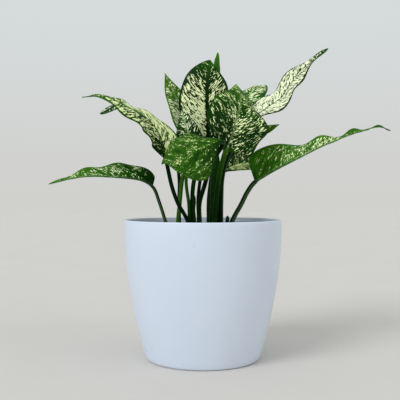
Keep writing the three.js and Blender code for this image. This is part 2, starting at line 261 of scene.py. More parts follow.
# Injection-moulded polypropylene with a satin skin: a broad soft gloss over a cool white, a
# little cloudy in tone and gloss from handling.
def mouldedPlastic():
    material, tree, shader = newMaterial("moulded_satin_polypropylene", {"IOR": 1.49})
    place = addNode(tree, "TexCoord").outputs["Object"]
    drift = addNode(tree, "TexNoise", {"Vector": place, "Scale": pot["toneScale"], "Detail": 3})
    tone = addNode(tree, "Mix", {
        "Factor": drift,
        "A": linearColor(pot["colors"][0]),
        "B": linearColor(pot["colors"][1])}, data_type="RGBA")
    handling = addNode(tree, "TexNoise", {
        "Vector": place, "Scale": pot["handlingScale"], "Detail": 3})
    gloss = addNode(tree, "MapRange", {
        "Value": handling, "From Min": 0.2, "From Max": 0.8,
        "To Min": pot["roughness"][0], "To Max": pot["roughness"][1]})
    grain = addNode(tree, "TexNoise", {"Vector": place, "Scale": pot["grainScale"], "Detail": 2})
    bump = addNode(tree, "Bump", {"Strength": 0.06, "Distance": 0.2 * mm, "Height": grain})
    setSockets(tree, shader, {"Base Color": tone, "Roughness": gloss, "Normal": bump})
    return material


potShell = turnedPiece("pottedShell", potRings(), pot["sides"])
potShell.data.materials.append(mouldedPlastic())
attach(potShell, "root")
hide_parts("pot")
print("pot: turned shell,", len(potShell.data.polygons), "faces")


soil = {
    "top": 121,
    "mound": 2,            # rise of the middle above the edge
    "crumb": 1,            # height of the lumps
    "clods": 0.6,          # height of the finer relief on the lumps
    "granules": 0.35,      # height of the finest relief
    "gap": 0.5,            # between the soil and the wall of the pot
    "underGap": 0.3,       # between the soil and the base of the pot
    "footInset": 4.5,      # how far the soil's flat foot stops short of the pot's outside
    "side": (12, 116),     # heights between which the soil follows the wall
    "sideRows": 14,
    "edgeHeight": 118,     # height of the wall where the top of the soil meets it
    "rings": 70,
    "sides": 144,
    "mixColors": ("#1b130d", "#4a3625"),
    "mixScale": 420,       # fibres and grains of about 2.4 mm
    "perliteColors": ("#a79c8c", "#dcd8cd"),
    "perliteScale": 1500,  # pits of about 0.7 mm
    "crumbs": 300,
    "crumbSize": (0.8, 2.2),
    "grains": 46,
    "grainSize": (0.7, 1.5),
    "lumpUnevenness": 0.35,
    "lumpWidth": (0.6, 1),
    "lumpHeight": (0.45, 0.8),
    "lumpLift": 0.2,       # share of its size by which a lump is lifted
    "stemRoom": 1,         # left free round each stalk
    "wallRoom": 3,         # left free along the wall of the pot
    "seed": 11,
}


def soilHeight(x, y):
    # three layers of crossed waves, each finer and less regular than the one before
    radius = np.hypot(x, y) / pot["rimRadius"]
    lumps = np.sin(x * 0.31 + 1.3) * np.cos(y * 0.27) + np.sin(x * 0.17 - y * 0.23 + 2)
    fine = np.sin(x * 1.1 + 2 * np.sin(y * 0.7)) * np.sin(y * 1.3 + 2 * np.sin(x * 0.9))
    grain = np.sin(x * 3.1 + 3 * np.sin(y * 1.9)) * np.sin(y * 2.7 + 3 * np.sin(x * 2.3))
    level = soil["top"] - soil["mound"] * radius * radius
    return level + soil["crumb"] * lumps / 2 + soil["clods"] * fine + soil["granules"] * grain


def soilRings():
    foot = pot["floor"] + soil["underGap"]
    rings = [(firstRing, foot), (potRadius(pot["floor"]) - soil["footInset"], foot)]
    for z in np.linspace(*soil["side"], soil["sideRows"]):
        rings.append((potRadius(z) - pot["wall"] - soil["gap"], z))
    edge = potRadius(soil["edgeHeight"]) - pot["wall"] - soil["gap"]
    for step in range(soil["rings"]):
        rings.append((edge * (1 - step / soil["rings"]), soil["top"]))
    return rings


# Potting mix of peat and fine bark: matt and nearly black-brown, broken up by paler fibres.
def pottingMix():
    material, tree, shader = newMaterial("damp_peat_and_bark_mix", {"Roughness": 0.92})
    place = addNode(tree, "TexCoord").outputs["Object"]
    grain = addNode(tree, "TexNoise", {"Vector": place, "Scale": soil["mixScale"], "Detail": 6})
    dark, pale = soil["mixColors"]
    tone = addNode(tree, "ValToRGB", {"Fac": grain}, [(0.35, dark), (0.7, pale)])
    bump = addNode(tree, "Bump", {"Strength": 0.8, "Distance": 0.8 * mm, "Height": grain})
    setSockets(tree, shader, {"Base Color": tone, "Normal": bump})
    return material


# Expanded perlite: chalk-white popped grains, dusty and pitted.
def poppedPerlite():
    material, tree, shader = newMaterial("expanded_perlite", {"Roughness": 0.95})
    place = addNode(tree, "TexCoord").outputs["Object"]
    pits = addNode(tree, "TexNoise", {
        "Vector": place, "Scale": soil["perliteScale"], "Detail": 3})
    dusty, chalk = soil["perliteColors"]
    tone = addNode(tree, "ValToRGB", {"Fac": pits}, [(0.35, dusty), (0.6, chalk)])
    setSockets(tree, shader, {"Base Color": tone})
    return material


soilFill = turnedPiece("pottingSoil", soilRings(), soil["sides"])
soilPoints = np.zeros(len(soilFill.data.vertices) * 3)
soilFill.data.vertices.foreach_get("co", soilPoints)
soilPoints = soilPoints.reshape(-1, 3) / mm
onTop = soilPoints[:, 2] > soil["top"] - 1
soilPoints[onTop, 2] = soilHeight(soilPoints[onTop, 0], soilPoints[onTop, 1])
soilFill.data.vertices.foreach_set("co", (soilPoints * mm).ravel())
soilFill.data.update()
pottingMaterial = pottingMix()
soilFill.data.materials.append(pottingMaterial)
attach(soilFill, "root")
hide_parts("soil")
print("soil:", len(soilFill.data.polygons), "faces")


# Each leaf: the middle of its stalk stands at root [x, y] in the soil, passes through the stalk
# points and runs on as the midrib through the rib points. face is the way its upper side looks.
# leftRise and rightRise lift each half of the blade, in degrees at the foot, the middle and the
# tip, and curl bends each half over from the midrib to the margin. Pairs are left and right:
# widest is where along the blade a half is widest, fullness makes it more pointed as it grows,
# wave is how high its margin waves, and ruffle is how much the waves draw the margin in and out.
# cream and green go from 0 to 1 at the foot, the middle and the tip of the left half and then of
# the right half; the green is partly the leaf's own tone and partly painted shade, lower on a half
# or a foot that lies in shade. yellow is how yellow the cream is, partly painted light shining
# through the leaf, hue goes from olive (0) to blue-green (1), band and margin are how far the
# flecks stay off the midrib and the margin, ribTone is how pale the midrib is, stalkToneAndShade is
# how bright the stalk is at the soil and at the blade, kept dark and darkest at the soil as painted
# shade among the stalks, and fineness makes the flecks smaller.
leafShapes = [
    {
        "name": "leaf_lower_left", "root": [-33, -6],
        "stalk": [[-38, -6, 139], [-44, -7, 158]],
        "rib": [[-50, -9, 173], [-60, -11, 180], [-85, -16, 183.5], [-119, -24, 183.5],
            [-151, -30, 176]],
        "stalkRadius": 1.8, "face": [0, 0, 1],
        "width": 38, "widest": [0.34, 0.3], "fullness": [1.15, 1.15], "foot": 0.05,
        "leftRise": [-6, -4, -4], "rightRise": [60, 42, 28], "curl": -20,
        "wave": [0.4, 1.9], "waves": 3.5, "leftPhase": 0.5, "rightPhase": 5.89,
        "cream": [[0.12, 0.28, 0.26], [0.14, 0.36, 0.26]],
        "green": [[0.14, 0.5, 0.52], [0.08, 0.56, 0.56]],
        "yellow": 0.2, "margin": 2.6, "fineness": 1.1,
    },
    {
        "name": "leaf_middle_left", "root": [-14, -10],
        "stalk": [[-15.5, -10, 139], [-25, -14, 157], [-31, -17, 174]],
        "rib": [[-36, -20, 197], [-42, -24, 222], [-54, -30, 239], [-73, -38, 250],
            [-95, -44, 259.5], [-115, -50, 258]],
        "stalkRadius": 2, "face": [0, -0.55, 0.83],
        "width": 42, "widest": [0.34, 0.3], "fullness": [1.8, 1.4],
        "leftRise": [60, -8, 14], "rightRise": [0, -10, -5], "curl": -16,
        "wave": [0.8, 1.1], "waves": 4.6, "leftPhase": 0, "rightPhase": 1.2,
        "cream": [[0.12, 0.52, 0.46], [0.6, 0.62, 0.4]],
        "green": [[0.12, 0.36, 0.5], [0.5, 0.55, 0.45]],
        "yellow": 0.5, "margin": 2.2, "band": 0.9,
    },
    {
        "name": "leaf_behind_middle_left", "root": [-24.5, 16],
        "stalk": [[-24.5, 16, 139], [-25, 18, 160], [-25, 20, 183]],
        "rib": [[-29, 18, 207], [-44, 11, 231], [-64, 3, 247], [-86, -3, 256], [-104, -8, 247]],
        "stalkRadius": 1.8, "face": [0, -0.5, 0.86],
        "width": 36, "widest": [0.5, 0.5], "fullness": [0.8, 0.8],
        "leftRise": [40, 25, -10], "rightRise": [0, -20, -10], "curl": -14,
        "wave": [1.2, 0.8], "waves": 2.4, "leftPhase": 1, "rightPhase": 0,
        "cream": [[0.2, 0.3, 0.3], [0.2, 0.3, 0.3]],
        "green": [[0.3, 0.3, 0.3], [0.3, 0.3, 0.3]],
        "hue": 0.7,
    },
    {
        "name": "leaf_upright_left", "root": [-26, 5],
        "stalk": [[-25.5, 5, 139], [-24, 7, 156], [-21.5, 12, 181]],
        "rib": [[-16, 23, 208], [-18, 28, 233], [-23.5, 29, 256], [-31.5, 26, 275],
            [-40, 20, 294]],
        "stalkRadius": 2.1, "face": [-0.35, -0.93, 0],
        "width": 30, "widest": [0.5, 0.4], "fullness": [1.2, 1.3],
        "leftRise": [68, 60, 30], "rightRise": [10, 5, 5], "curl": -10,
        "wave": [1.0, 1.0], "waves": 2, "leftPhase": 0.5, "rightPhase": 2,
        "cream": [[0.66, 0.56, 0.26], [0.5, 0.5, 0.26]],
        "green": [[0.5, 0.66, 0.66], [0.5, 0.66, 0.6]],
        "yellow": 0.1, "hue": 0.3, "margin": 1.6, "ribTone": 0.5, "stalkToneAndShade": [0.36, 0.48],
    },
    {
        "name": "leaf_young", "root": [-13.5, -3.5],
        "stalk": [[-13.8, -3.9, 139], [-14.3, -4.8, 156], [-17, -5.6, 178]],
        "rib": [[-15.5, -4, 199], [-12, -5, 214], [-14.5, -4, 228], [-19, -2, 242],
            [-22, 2, 252]],
        "stalkRadius": 1.7, "face": [-0.2, -1, 0.1],
        "width": 28, "widest": [0.4, 0.4], "fullness": [1.1, 1.1],
        "leftRise": [10, 5, 5], "rightRise": [25, 15, 12], "curl": -8,
        "wave": [0.8, 0.8], "waves": 2, "leftPhase": 0, "rightPhase": 1.5,
        "cream": [[0.12, 0.24, 0.5], [0.12, 0.24, 0.5]],
        "green": [[0.05, 0.25, 0.5], [0.05, 0.2, 0.45]],
        "ribTone": 0.7, "stalkToneAndShade": [0.2, 0.4],
    },
    {
        "name": "leaf_upright_center", "root": [-8.5, -2],
        "stalk": [[-9, -2, 139], [-10.8, -1, 160], [-9, 3, 181], [-2, 9, 204]],
        "rib": [[5, 15, 221], [6, 17, 238], [5, 17, 262], [5, 19, 283], [8, 24, 308]],
        "stalkRadius": 2.2, "face": [-0.1, -1, 0.15],
        "width": 60, "widest": [0.52, 0.42], "fullness": [0.72, 1.1],
        "leftRise": [20, 4, 0], "rightRise": [36, 36, 22], "curl": -14,
        "wave": [1.2, 1.2], "waves": 2.2, "leftPhase": 0.4, "rightPhase": 2.4,
        "cream": [[0.68, 0.6, 0.1], [0.4, 0.5, 0.18]],
        "green": [[0.03, 0.1, 0.4], [0.03, 0.1, 0.4]],
        "yellow": 0.4, "margin": 2.6, "band": 2.6, "stalkToneAndShade": [0.1, 0.16],
    },
    {
        "name": "leaf_rolled", "root": [-4.5, 5.5],
        "stalk": [[-4.5, 5.5, 139], [-5, 8, 160], [-3, 13, 180], [3, 23, 213]],
        "rib": [[9, 30, 245], [13, 34, 280], [16, 34, 318]],
        "stalkRadius": 1.8, "rolledRadius": 4.2,
        "cream": 0.25, "green": 0.62,
    },
    {
        "name": "leaf_center_right", "root": [11.5, -7.6],
        "stalk": [[11.5, -8.2, 139], [14, -12, 168], [16.5, -18, 186]],
        "rib": [[21.5, -27, 207], [28, -28, 223], [33, -24, 240], [37, -16.5, 255],
            [37.5, -7, 267], [34, 2, 279]],
        "stalkRadius": 2.4, "face": [0.45, -1, 0.35],
        "width": 62, "widest": [0.42, 0.33], "fullness": [0.95, 0.72],
        "leftRise": [20, -4, -5], "rightRise": [15, 8, -50], "curl": -22,
        "wave": [2.0, 2.6], "ruffle": [0.03, 0.1], "waves": 2.4,
        "leftPhase": 1.6, "rightPhase": 0,
        "cream": [[0.1, 0.36, 0.2], [0.24, 0.36, 0.02]],
        "green": [[0.06, 0.32, 0.6], [0.2, 0.32, 0.6]],
        "yellow": 0.45, "hue": 0.3, "margin": 2.2, "ribTone": 0.25, "stalkToneAndShade": [0.2, 0.55],
        "fineness": 1.1,
    },
    {
        "name": "leaf_back_right", "root": [5.6, 6.6],
        "stalk": [[5.6, 6.6, 139], [6.2, 12, 165], [13, 22, 202]],
        "rib": [[29, 30, 234], [39, 35, 254], [50, 41, 271], [56, 50, 283], [58, 61, 286],
            [58.5, 73, 281], [58.5, 83, 270]],
        "stalkRadius": 1.9, "face": [-0.4, -0.6, 0.7],
        "width": 31, "widest": [0.5, 0.5], "fullness": [0.8, 0.8],
        "leftRise": [15, -5, -5], "rightRise": [10, -25, -20], "curl": -16,
        "wave": [1.4, 1.4], "waves": 2.4, "leftPhase": 0.2, "rightPhase": 2,
        "cream": [[0.35, 0.42, 0.35], [0.35, 0.42, 0.35]],
        "green": [[0.5, 0.5, 0.4], [0.5, 0.5, 0.4]],
        "yellow": 0.3, "hue": 0.9, "margin": 2, "ribTone": 0.9, "stalkToneAndShade": [0.1, 0.15],
    },
    {
        "name": "leaf_upper_right", "root": [18.5, 0],
        "stalk": [[18.5, 0, 139], [18.8, 1, 160], [20, 3, 183], [25, 5, 202], [35, 6, 222]],
        "rib": [[49, 6, 242], [66, 7, 255], [81, 7, 266], [89, 6, 278], [98, 4, 290],
            [109, 1, 300], [127, -4, 314]],
        "stalkRadius": 2.2, "face": [-0.59, -0.5, 0.64],
        "width": 42, "widest": [0.3, 0.28], "fullness": [0.95, 1.25],
        "leftRise": [10, 2, 2], "rightRise": [10, 2, 2], "curl": -20,
        "wave": [2.4, 2.4], "ruffle": [0.05, 0.14], "waves": 2.6,
        "leftPhase": 4.4, "rightPhase": 0.9,
        "cream": [[0.66, 0.63, 0.36], [0.6, 0.62, 0.4]],
        "green": [[0.1, 0.2, 0.36], [0.1, 0.2, 0.36]],
        "yellow": 0.1, "hue": 0.62, "margin": 2,
    },
    {
        "name": "leaf_small_right", "root": [11, 7.5],
        "stalk": [[11, 7.5, 139], [12, 9, 160], [18.5, 11, 186], [26, 13, 203]],
        "rib": [[39, 15, 216], [52, 18, 226], [67, 21, 234], [81, 25, 240]],
        "stalkRadius": 1.6, "face": [0, -0.7, 0.7],
        "width": 15, "widest": [0.45, 0.45], "fullness": [1.0, 1.0],
        "leftRise": [22, 14, 10], "rightRise": [22, 14, 10], "curl": -10,
        "wave": [0.7, 0.7], "waves": 2, "leftPhase": 0, "rightPhase": 2,
        "cream": [[0.1, 0.2, 0.2], [0.1, 0.2, 0.2]],
        "green": [[0.5, 0.6, 0.6], [0.5, 0.6, 0.6]],
        "hue": 0.1,
    },
    {
        "name": "leaf_low_back", "root": [16.5, 7],
        "stalk": [[16.5, 7, 139], [17, 12, 158], [17, 18, 176]],
        "rib": [[21, 24, 189], [35, 34, 198], [51, 46, 201], [72, 61, 203], [92, 74, 202]],
        "stalkRadius": 1.8, "face": [0.1, -0.45, 0.88],
        "width": 36, "widest": [0.36, 0.36], "fullness": [1.0, 1.0],
        "leftRise": [25, 14, 8], "rightRise": [10, 0, 0], "curl": -16,
        "wave": [1.2, 1.2], "waves": 2.4, "leftPhase": 0, "rightPhase": 1,
        "cream": [[0.26, 0.3, 0.26], [0.52, 0.54, 0.36]],
        "green": [[0.2, 0.3, 0.3], [0.5, 0.6, 0.6]],
        "yellow": 0.7,
    },
    {
        "name": "leaf_lower_right", "root": [26, 2],
        "stalk": [[30, 2, 139], [39, 1, 156], [45.5, 0, 169]],
        "rib": [[52, -3, 178], [61, -4, 184], [71, -5, 190], [95, -8, 202.5], [128, -10, 218.5],
            [160, -10, 230], [178, -8, 234], [190, -6, 230.5]],
        "stalkRadius": 2.5, "face": [0, 0, 1],
        "width": 57, "widest": [0.18, 0.2], "fullness": [1.9, 1.3], "foot": 0.045,
        "leftRise": [88, 32, 34], "rightRise": [-3, -3, -3], "curl": -16,
        "wave": [3.6, 0.6], "waves": 3.85, "crowding": 1.8, "leftPhase": 6.15, "rightPhase": 2,
        "cream": [[0.04, 0.42, 0.2], [0.04, 0.44, 0.2]],
        "green": [[0.5, 0.62, 0.48], [0.42, 0.58, 0.48]],
        "yellow": 0.35, "margin": 4, "fineness": 1.1,
    },
    {
        "name": "leaf_front", "root": [-3.3, -14],
        "stalk": [[-3.3, -15, 139], [-3.5, -22, 157], [1.5, -31, 175], [8.5, -40.5, 198]],
        "rib": [[19, -44, 214], [16.5, -50, 217], [7, -56, 212], [-8, -61, 205.5],
            [-23, -62, 200], [-39, -60, 194]],
        "stalkRadius": 2.2, "face": [-0.2, -0.8, 0.6],
        "width": 60, "widest": [0.61, 0.58], "fullness": [1.65, 0.85],
        "leftRise": [-25, -28, 55], "rightRise": [-10, -6, -8], "curl": -15,
        "wave": [1.6, 1.2], "waves": 2.2, "leftPhase": 0, "rightPhase": 2,
        "cream": [[0.04, 0.2, 0.18], [0.1, 0.24, 0.16]],
        "green": [[0.12, 0.36, 0.44], [0.36, 0.44, 0.44]],
        "yellow": 0.6, "hue": 0.2, "margin": 1.8, "fineness": 1.45,
    },
]

# What the leaves share, and what a leaf has unless its own dictionary says otherwise.
leafForm = {
    "rootEnd": 97,         # how deep the stalks reach in the soil
    "upright": 110,        # below this height a stalk stands plumb
    "foot": 0.09,          # share of the blade over which the stalk flattens into it
    "ruffle": [0.03, 0.03],
    "crowding": 1,         # above 1 the waves stand closer at the tip
    "thickness": 0.8,
    "keelHalfWidth": 1.7,
    "keelHeight": 1.5,
    "groove": 0.35,        # depth of the midrib's groove on the upper side
    "grooveStart": 0.2,    # share of the blade over which the groove fades in
    "creaseShare": 0.12,   # share of a half over which the crease at the midrib is rounded
    "channel": 0.16,       # share of the stalk's radius that its channel takes
    "channelWidth": 0.5,   # radians round the stalk
    "veinSpacing": 6.5,
    "veinSlant": 0.7,      # how far a side vein runs towards the tip for each mm outwards
    "veinBend": 0.012,     # how much more it does so towards the margin
    "veinDepth": 0.1,
    "veinFade": 3,         # width at the midrib and the margin over which the veins fade out
    "yellow": 0,
    "hue": 0.5,
    "band": 0.6,
    "margin": 1.1,
    "ribTone": 0,
    # stalkToneAndShade is partly painted shade: the stalks are kept dark, darkest at the soil where
    # they stand close, and stalkShadeFade sets how far under the blade that painted shade fades out
    "stalkToneAndShade": [0.06, 0.06],
    "fineness": 1,
    "stalkShadeFade": 60,       # length under the blade over which the stalk changes tone
    "stripes": 2.6,        # how close the flecks' pattern lies round the stalk
    "stripeStretch": 0.06, # and along it
    "patternStep": 7.3,    # sets each leaf's flecks apart from the next leaf's
    "around": 112,         # points round the section
    "stalkRows": 40,
    "bladeRows": 150,
    "rowCrowding": 1.1,    # above 1 the rows stand closer at the foot
}


def coursePoints(points, share):
    # centripetal Catmull-Rom curve through the points, at shares from 0 to 1
    count = len(points)
    place = (count - 1) * np.asarray(share, float)
    first = np.minimum(np.floor(place).astype(int), count - 2)
    w = (place - first)[:, None]
    before = np.vstack([2 * points[0] - points[1], points[:-2]])[first]
    after = np.vstack([points[2:], 2 * points[-1] - points[-2]])[first]
    start, end = points[first], points[first + 1]
    gap0 = np.linalg.norm(start - before, axis=1)[:, None] ** 0.5
    gap1 = np.linalg.norm(end - start, axis=1)[:, None] ** 0.5
    gap2 = np.linalg.norm(after - end, axis=1)[:, None] ** 0.5
    leave = ((start - before) / gap0 - (end - before) / (gap0 + gap1) + (end - start) / gap1) * gap1
    arrive = ((end - start) / gap1 - (after - start) / (gap1 + gap2) + (after - end) / gap2) * gap1
    cubic = 2 * start - 2 * end + leave + arrive
    square = -3 * start + 3 * end - 2 * leave - arrive
    return start + leave * w + square * w ** 2 + cubic * w ** 3


def unit(vectors):
    return vectors / np.linalg.norm(vectors, axis=-1, keepdims=True)


def leafCourse(shape):
    # the rows of a leaf from its root to its tip: v, which goes from 0 to 1 over the blade, the
    # middle of the row, its two directions, the length of the blade, and the mm from its foot
    x, y = shape["root"]
    foot = [[x, y, leafForm["rootEnd"]], [x, y, leafForm["upright"]], [x, y, soil["top"] + 1]]
    points = np.array([*foot, *shape["stalk"], *shape["rib"]], float)
    perSpan = 40                                       # steps that measure a span of the curve
    nudge = 0.0001                                     # to either side, for the direction
    parts = perSpan * (len(points) - 1)
    dense = coursePoints(points, np.linspace(0, 1, parts + 1))
    lengths = np.concatenate([[0], np.cumsum(np.linalg.norm(np.diff(dense, axis=0), axis=1))])
    total = lengths[-1]
    ribStart = lengths[perSpan * (len(foot) + len(shape["stalk"]))] / total
    soilEnd = lengths[perSpan * (len(foot) - 1)] / total
    places = [0, 0, *np.linspace(soilEnd, ribStart, leafForm["stalkRows"])]
    rise = np.linspace(0, 1, leafForm["bladeRows"] + 1)[1:] ** leafForm["rowCrowding"]
    v = np.concatenate([np.zeros(len(places)), rise])
    places = np.concatenate([places, ribStart + (1 - ribStart) * rise])
    share = np.interp(places * total, lengths, np.linspace(0, 1, parts + 1))
    at = coursePoints(points, share)
    ahead = coursePoints(points, np.clip(share + nudge, 0, 1))
    behind = coursePoints(points, np.clip(share - nudge, 0, 1))
    along = unit(ahead - behind)
    face = unit(np.array(shape["face"], float))
    sideways = unit(np.cross(along, face))
    for row in reversed(range(len(places))):           # down the stalk, with the least turn
        if v[row] <= 0:
            carried = sideways[row + 1]
            sideways[row] = unit(carried - along[row] * carried.dot(along[row]))
    upwards = unit(np.cross(sideways, along))
    return v, at, sideways, upwards, (1 - ribStart) * total, (places - ribStart) * total


def halfWidths(shape, v, right):
    widest = byHalf(right, shape["widest"])
    narrowing = byHalf(right, shape["fullness"])
    widening = narrowing * widest / (1 - widest)
    ends = np.clip(v, 1e-4, 1 - 1e-4)
    full = ends ** widening * (1 - ends) ** narrowing
    return shape["width"] / 2 * full / (widest ** widening * (1 - widest) ** narrowing)


def flatGrid(name, around, along):
    # a waved blade is beyond the edit-mode tools, so a flat grid is added and each of its points
    # is carried to its place: its columns go round the section, its rows along the leaf
    deselectAll()
    bpy.ops.mesh.primitive_grid_add(x_subdivisions=around, y_subdivisions=along, size=1)
    piece = bpy.context.object
    piece.name = name
    flat = np.zeros(len(piece.data.vertices) * 3)
    piece.data.vertices.foreach_get("co", flat)
    flat = flat.reshape(-1, 3)
    column = np.rint((flat[:, 0] + 0.5) * around).astype(int)
    row = np.rint((flat[:, 1] + 0.5) * along).astype(int)
    return piece, column, row


def addAttribute(piece, name, parts):
    count = len(piece.data.vertices)
    values = np.column_stack([np.broadcast_to(part, count) for part in parts])
    attribute = piece.data.attributes.new(name, "FLOAT_VECTOR", "POINT")
    attribute.data.foreach_set("vector", np.ascontiguousarray(values, np.float32).ravel())


def closeSkin(piece):
    deselectAll()
    piece.select_set(True)
    bpy.context.view_layer.objects.active = piece
    bpy.ops.object.mode_set(mode="EDIT")
    bpy.ops.mesh.select_all(action="SELECT")
    bpy.ops.mesh.remove_doubles(threshold=0.002 * mm)
    bpy.ops.mesh.dissolve_degenerate(threshold=0.001 * mm)
    bpy.ops.mesh.select_all(action="SELECT")
    bpy.ops.mesh.normals_make_consistent(inside=False)
    bpy.ops.object.mode_set(mode="OBJECT")
    bpy.ops.object.shade_smooth()


def shapeLeaf(name, shape, seed):
    form = {**leafForm, **shape}
    rowV, at, sideways, upwards, bladeLength, rowMm = leafCourse(shape)
    last = len(rowV) - 1
    piece, column, row = flatGrid(name, form["around"], last)
    v = rowV[row]

    # round the section: left to right over the top, and back underneath
    turnShare = column / (form["around"] / 2)          # 0 to 1 over the top, 1 to 2 underneath
    onTop = turnShare <= 1
    u = np.where(onTop, 2 * turnShare - 1, 3 - 2 * turnShare)
    u = u - 0.1 * np.sin(2 * np.pi * u)                # closer together at midrib and margins
    right = u > 0
    share = np.abs(u)                                  # 0 at the midrib, 1 at the margin
    side = np.where(right, 1.0, -1.0)
    half = halfWidths(shape, v, right)
    across = half * share

    # the middle of the blade: raised halves, curled and waved margins, side veins
    risen = [throughThree(shape["leftRise"], v), throughThree(shape["rightRise"], v)]
    angle = np.radians(byHalf(right, risen) + shape["curl"] * (share - 1) / 2)
    phase = byHalf(right, [shape["leftPhase"], shape["rightPhase"]])
    turn = 2 * np.pi * shape["waves"] * v ** form["crowding"] + phase
    ripple = np.sin(turn) * np.sqrt(np.sin(np.pi * np.clip(v, 0, 1)))
    reach = across * (1 + byHalf(right, form["ruffle"]) * share * np.cos(turn))
    veinPlace = v * bladeLength - form["veinSlant"] * across - form["veinBend"] * across ** 2
    veins = np.cos(2 * np.pi * veinPlace / form["veinSpacing"])
    fade = form["veinFade"]
    inside = smoothStep(0, fade, across) * smoothStep(0, fade, half - across)
    lift = byHalf(right, shape["wave"]) * ripple * share ** 2 + form["veinDepth"] * veins * inside
    x = side * (reach * np.cos(angle) - lift * np.sin(angle))
    z = reach * np.sin(angle) + lift * np.cos(angle)

    # its two faces, with the groove on top, the keel underneath and a thin closed margin
    leftAngle, rightAngle = [np.radians(degrees - shape["curl"] / 2) for degrees in risen]
    creaseLean = (rightAngle - leftAngle) / 2
    lean = creaseLean + (side * angle - creaseLean) * smoothStep(0, form["creaseShare"], share)
    thick = form["thickness"] / 2 * np.sqrt(np.clip(1 - share ** 14, 0, 1))
    nearRib = np.clip(1 - across / form["keelHalfWidth"], 0, 1)
    groove = form["groove"] * nearRib ** 2 * (1 - v) * smoothStep(0, form["grooveStart"], v)
    keel = form["keelHeight"] * (1 - v) * np.sin(nearRib * np.pi / 2) ** 1.5
    level = np.where(onTop, thick - groove, -(thick + keel))
    x = x - level * np.sin(lean)
    z = z + level * np.cos(lean)

    # the round stalk, channelled on its upper side, which spreads into the blade at its foot
    stalkTurn = np.pi * (1 - turnShare)
    nearTop = (stalkTurn - np.pi / 2) / form["channelWidth"]
    radius = shape["stalkRadius"] * (1 - form["channel"] * np.exp(-nearTop ** 2))
    spread = smoothStep(0, form["foot"], v)
    x = radius * np.cos(stalkTurn) * (1 - spread) + x * spread
    z = radius * np.sin(stalkTurn) * (1 - spread) + z * spread
    ends = (row == 0) | (row == last)
    x[ends] = 0
    z[ends] = 0
    points = at[row] + sideways[row] * x[:, None] + upwards[row] * z[:, None]
    piece.data.vertices.foreach_set("co", (points * mm).ravel())

    # what the leaf material reads: the place among the veins, cream and green, the green partly
    # painted shade, the distance from midrib and margin, and the leaf's tones, whose yellow cream
    # is partly painted light shining through the leaf
    cream = byHalf(right, [throughThree(values, v) for values in form["cream"]])
    # the green of each half is partly painted shade: lower where a half or the foot of a blade lies
    # in shade
    green = byHalf(right, [throughThree(values, v) for values in form["green"]])
    # the stalk is darker at the soil and lighter at the blade, as painted shade down in the bundle
    low, high = form["stalkToneAndShade"]
    stalkMm = rowMm[row]
    stalkShadedGreen = low + (high - low) * smoothStep(-form["stalkShadeFade"], 0, stalkMm)
    stripe = form["stripes"] * turnShare
    addAttribute(piece, "veinCourse", (
        veinPlace * spread + stripe * (1 - spread),
        side * across * spread + form["stripeStretch"] * stalkMm * (1 - spread),
        form["patternStep"] * seed))
    addAttribute(piece, "leafCoatAndShade", (
        cream * spread, stalkShadedGreen * (1 - spread) + green * spread, onTop * 1.0))
    addAttribute(piece, "leafEdge", (
        across - form["band"], half - across - form["margin"], form["fineness"]))
    addAttribute(piece, "leafTone", (form["hue"], form["ribTone"] * spread, form["yellow"]))
    closeSkin(piece)
    return piece


# The rolled leaf, the canes and the new shoot, which are round all the way up. Their cream,
# green and stalkToneAndShade are single values. Heights here are shares of the radius.
roundForm = {
    "around": 48,
    "scarSpacing": 8,      # from one leaf scar on a cane to the next
    "scarWidth": 0.7,
    "scarHeight": 0.05,
    "wrapTurns": 0.8,      # how far the edge of the rolled leaf winds round it
    "wrapStart": 0.4,
    "wrapHeight": 0.16,
    "wrapFoot": 0.1,       # share of the roll over which its edge and its cream begin
    "face": [0, -1, 0],
    "cream": 0,
    "green": 0.2,
    # dark at the soil as painted shade among the stalks
    "stalkToneAndShade": 0.06,
    "stripes": 8,
}


def rollShoot(name, shape, seed):
    form = {**leafForm, **roundForm, **shape}
    thickest = shape.get("rolledRadius", shape["stalkRadius"])
    rowV, at, sideways, upwards, _, rowMm = leafCourse(form)
    last = len(rowV) - 1
    piece, column, row = flatGrid(name, form["around"], last)
    v = rowV[row]
    stalkMm = rowMm[row]
    turnShare = column / form["around"]
    taper = shape["stalkRadius"] * (1 - v)
    radius = taper + (thickest - taper) * np.sqrt(4 * v * (1 - v))
    begun = smoothStep(0, form["wrapFoot"], v)
    if "rolledRadius" in shape:                        # the wrapped edge winds up the roll
        wrap = (turnShare + form["wrapTurns"] * v + form["wrapStart"]) % 1
        radius = radius * (1 + form["wrapHeight"] * (wrap - 0.5) * begun)
    else:                                              # leaf scars ring the cane
        spacing = form["scarSpacing"]
        scar = np.exp(-((stalkMm % spacing - spacing / 2) / form["scarWidth"]) ** 2)
        radius = radius * (1 + form["scarHeight"] * scar)
    radius = np.where((row == 0) | (row == last), 0, radius)
    turn = 2 * np.pi * turnShare
    x, z = radius * np.cos(turn), radius * np.sin(turn)
    points = at[row] + sideways[row] * x[:, None] + upwards[row] * z[:, None]
    piece.data.vertices.foreach_set("co", (points * mm).ravel())
    # darker at the soil and lighter towards the top, as painted shade down in the bundle
    green = form["stalkToneAndShade"] + (form["green"] - form["stalkToneAndShade"]) * v
    addAttribute(piece, "veinCourse", (
        form["stripes"] * turnShare, form["stripeStretch"] * stalkMm, form["patternStep"] * seed))
    addAttribute(piece, "leafCoatAndShade", (form["cream"] * begun, green, 1))
    addAttribute(piece, "leafEdge", (3, 3, form["fineness"]))    # off every midrib and margin
    addAttribute(piece, "leafTone", (form["hue"], form["ribTone"], form["yellow"]))
    closeSkin(piece)
    return piece


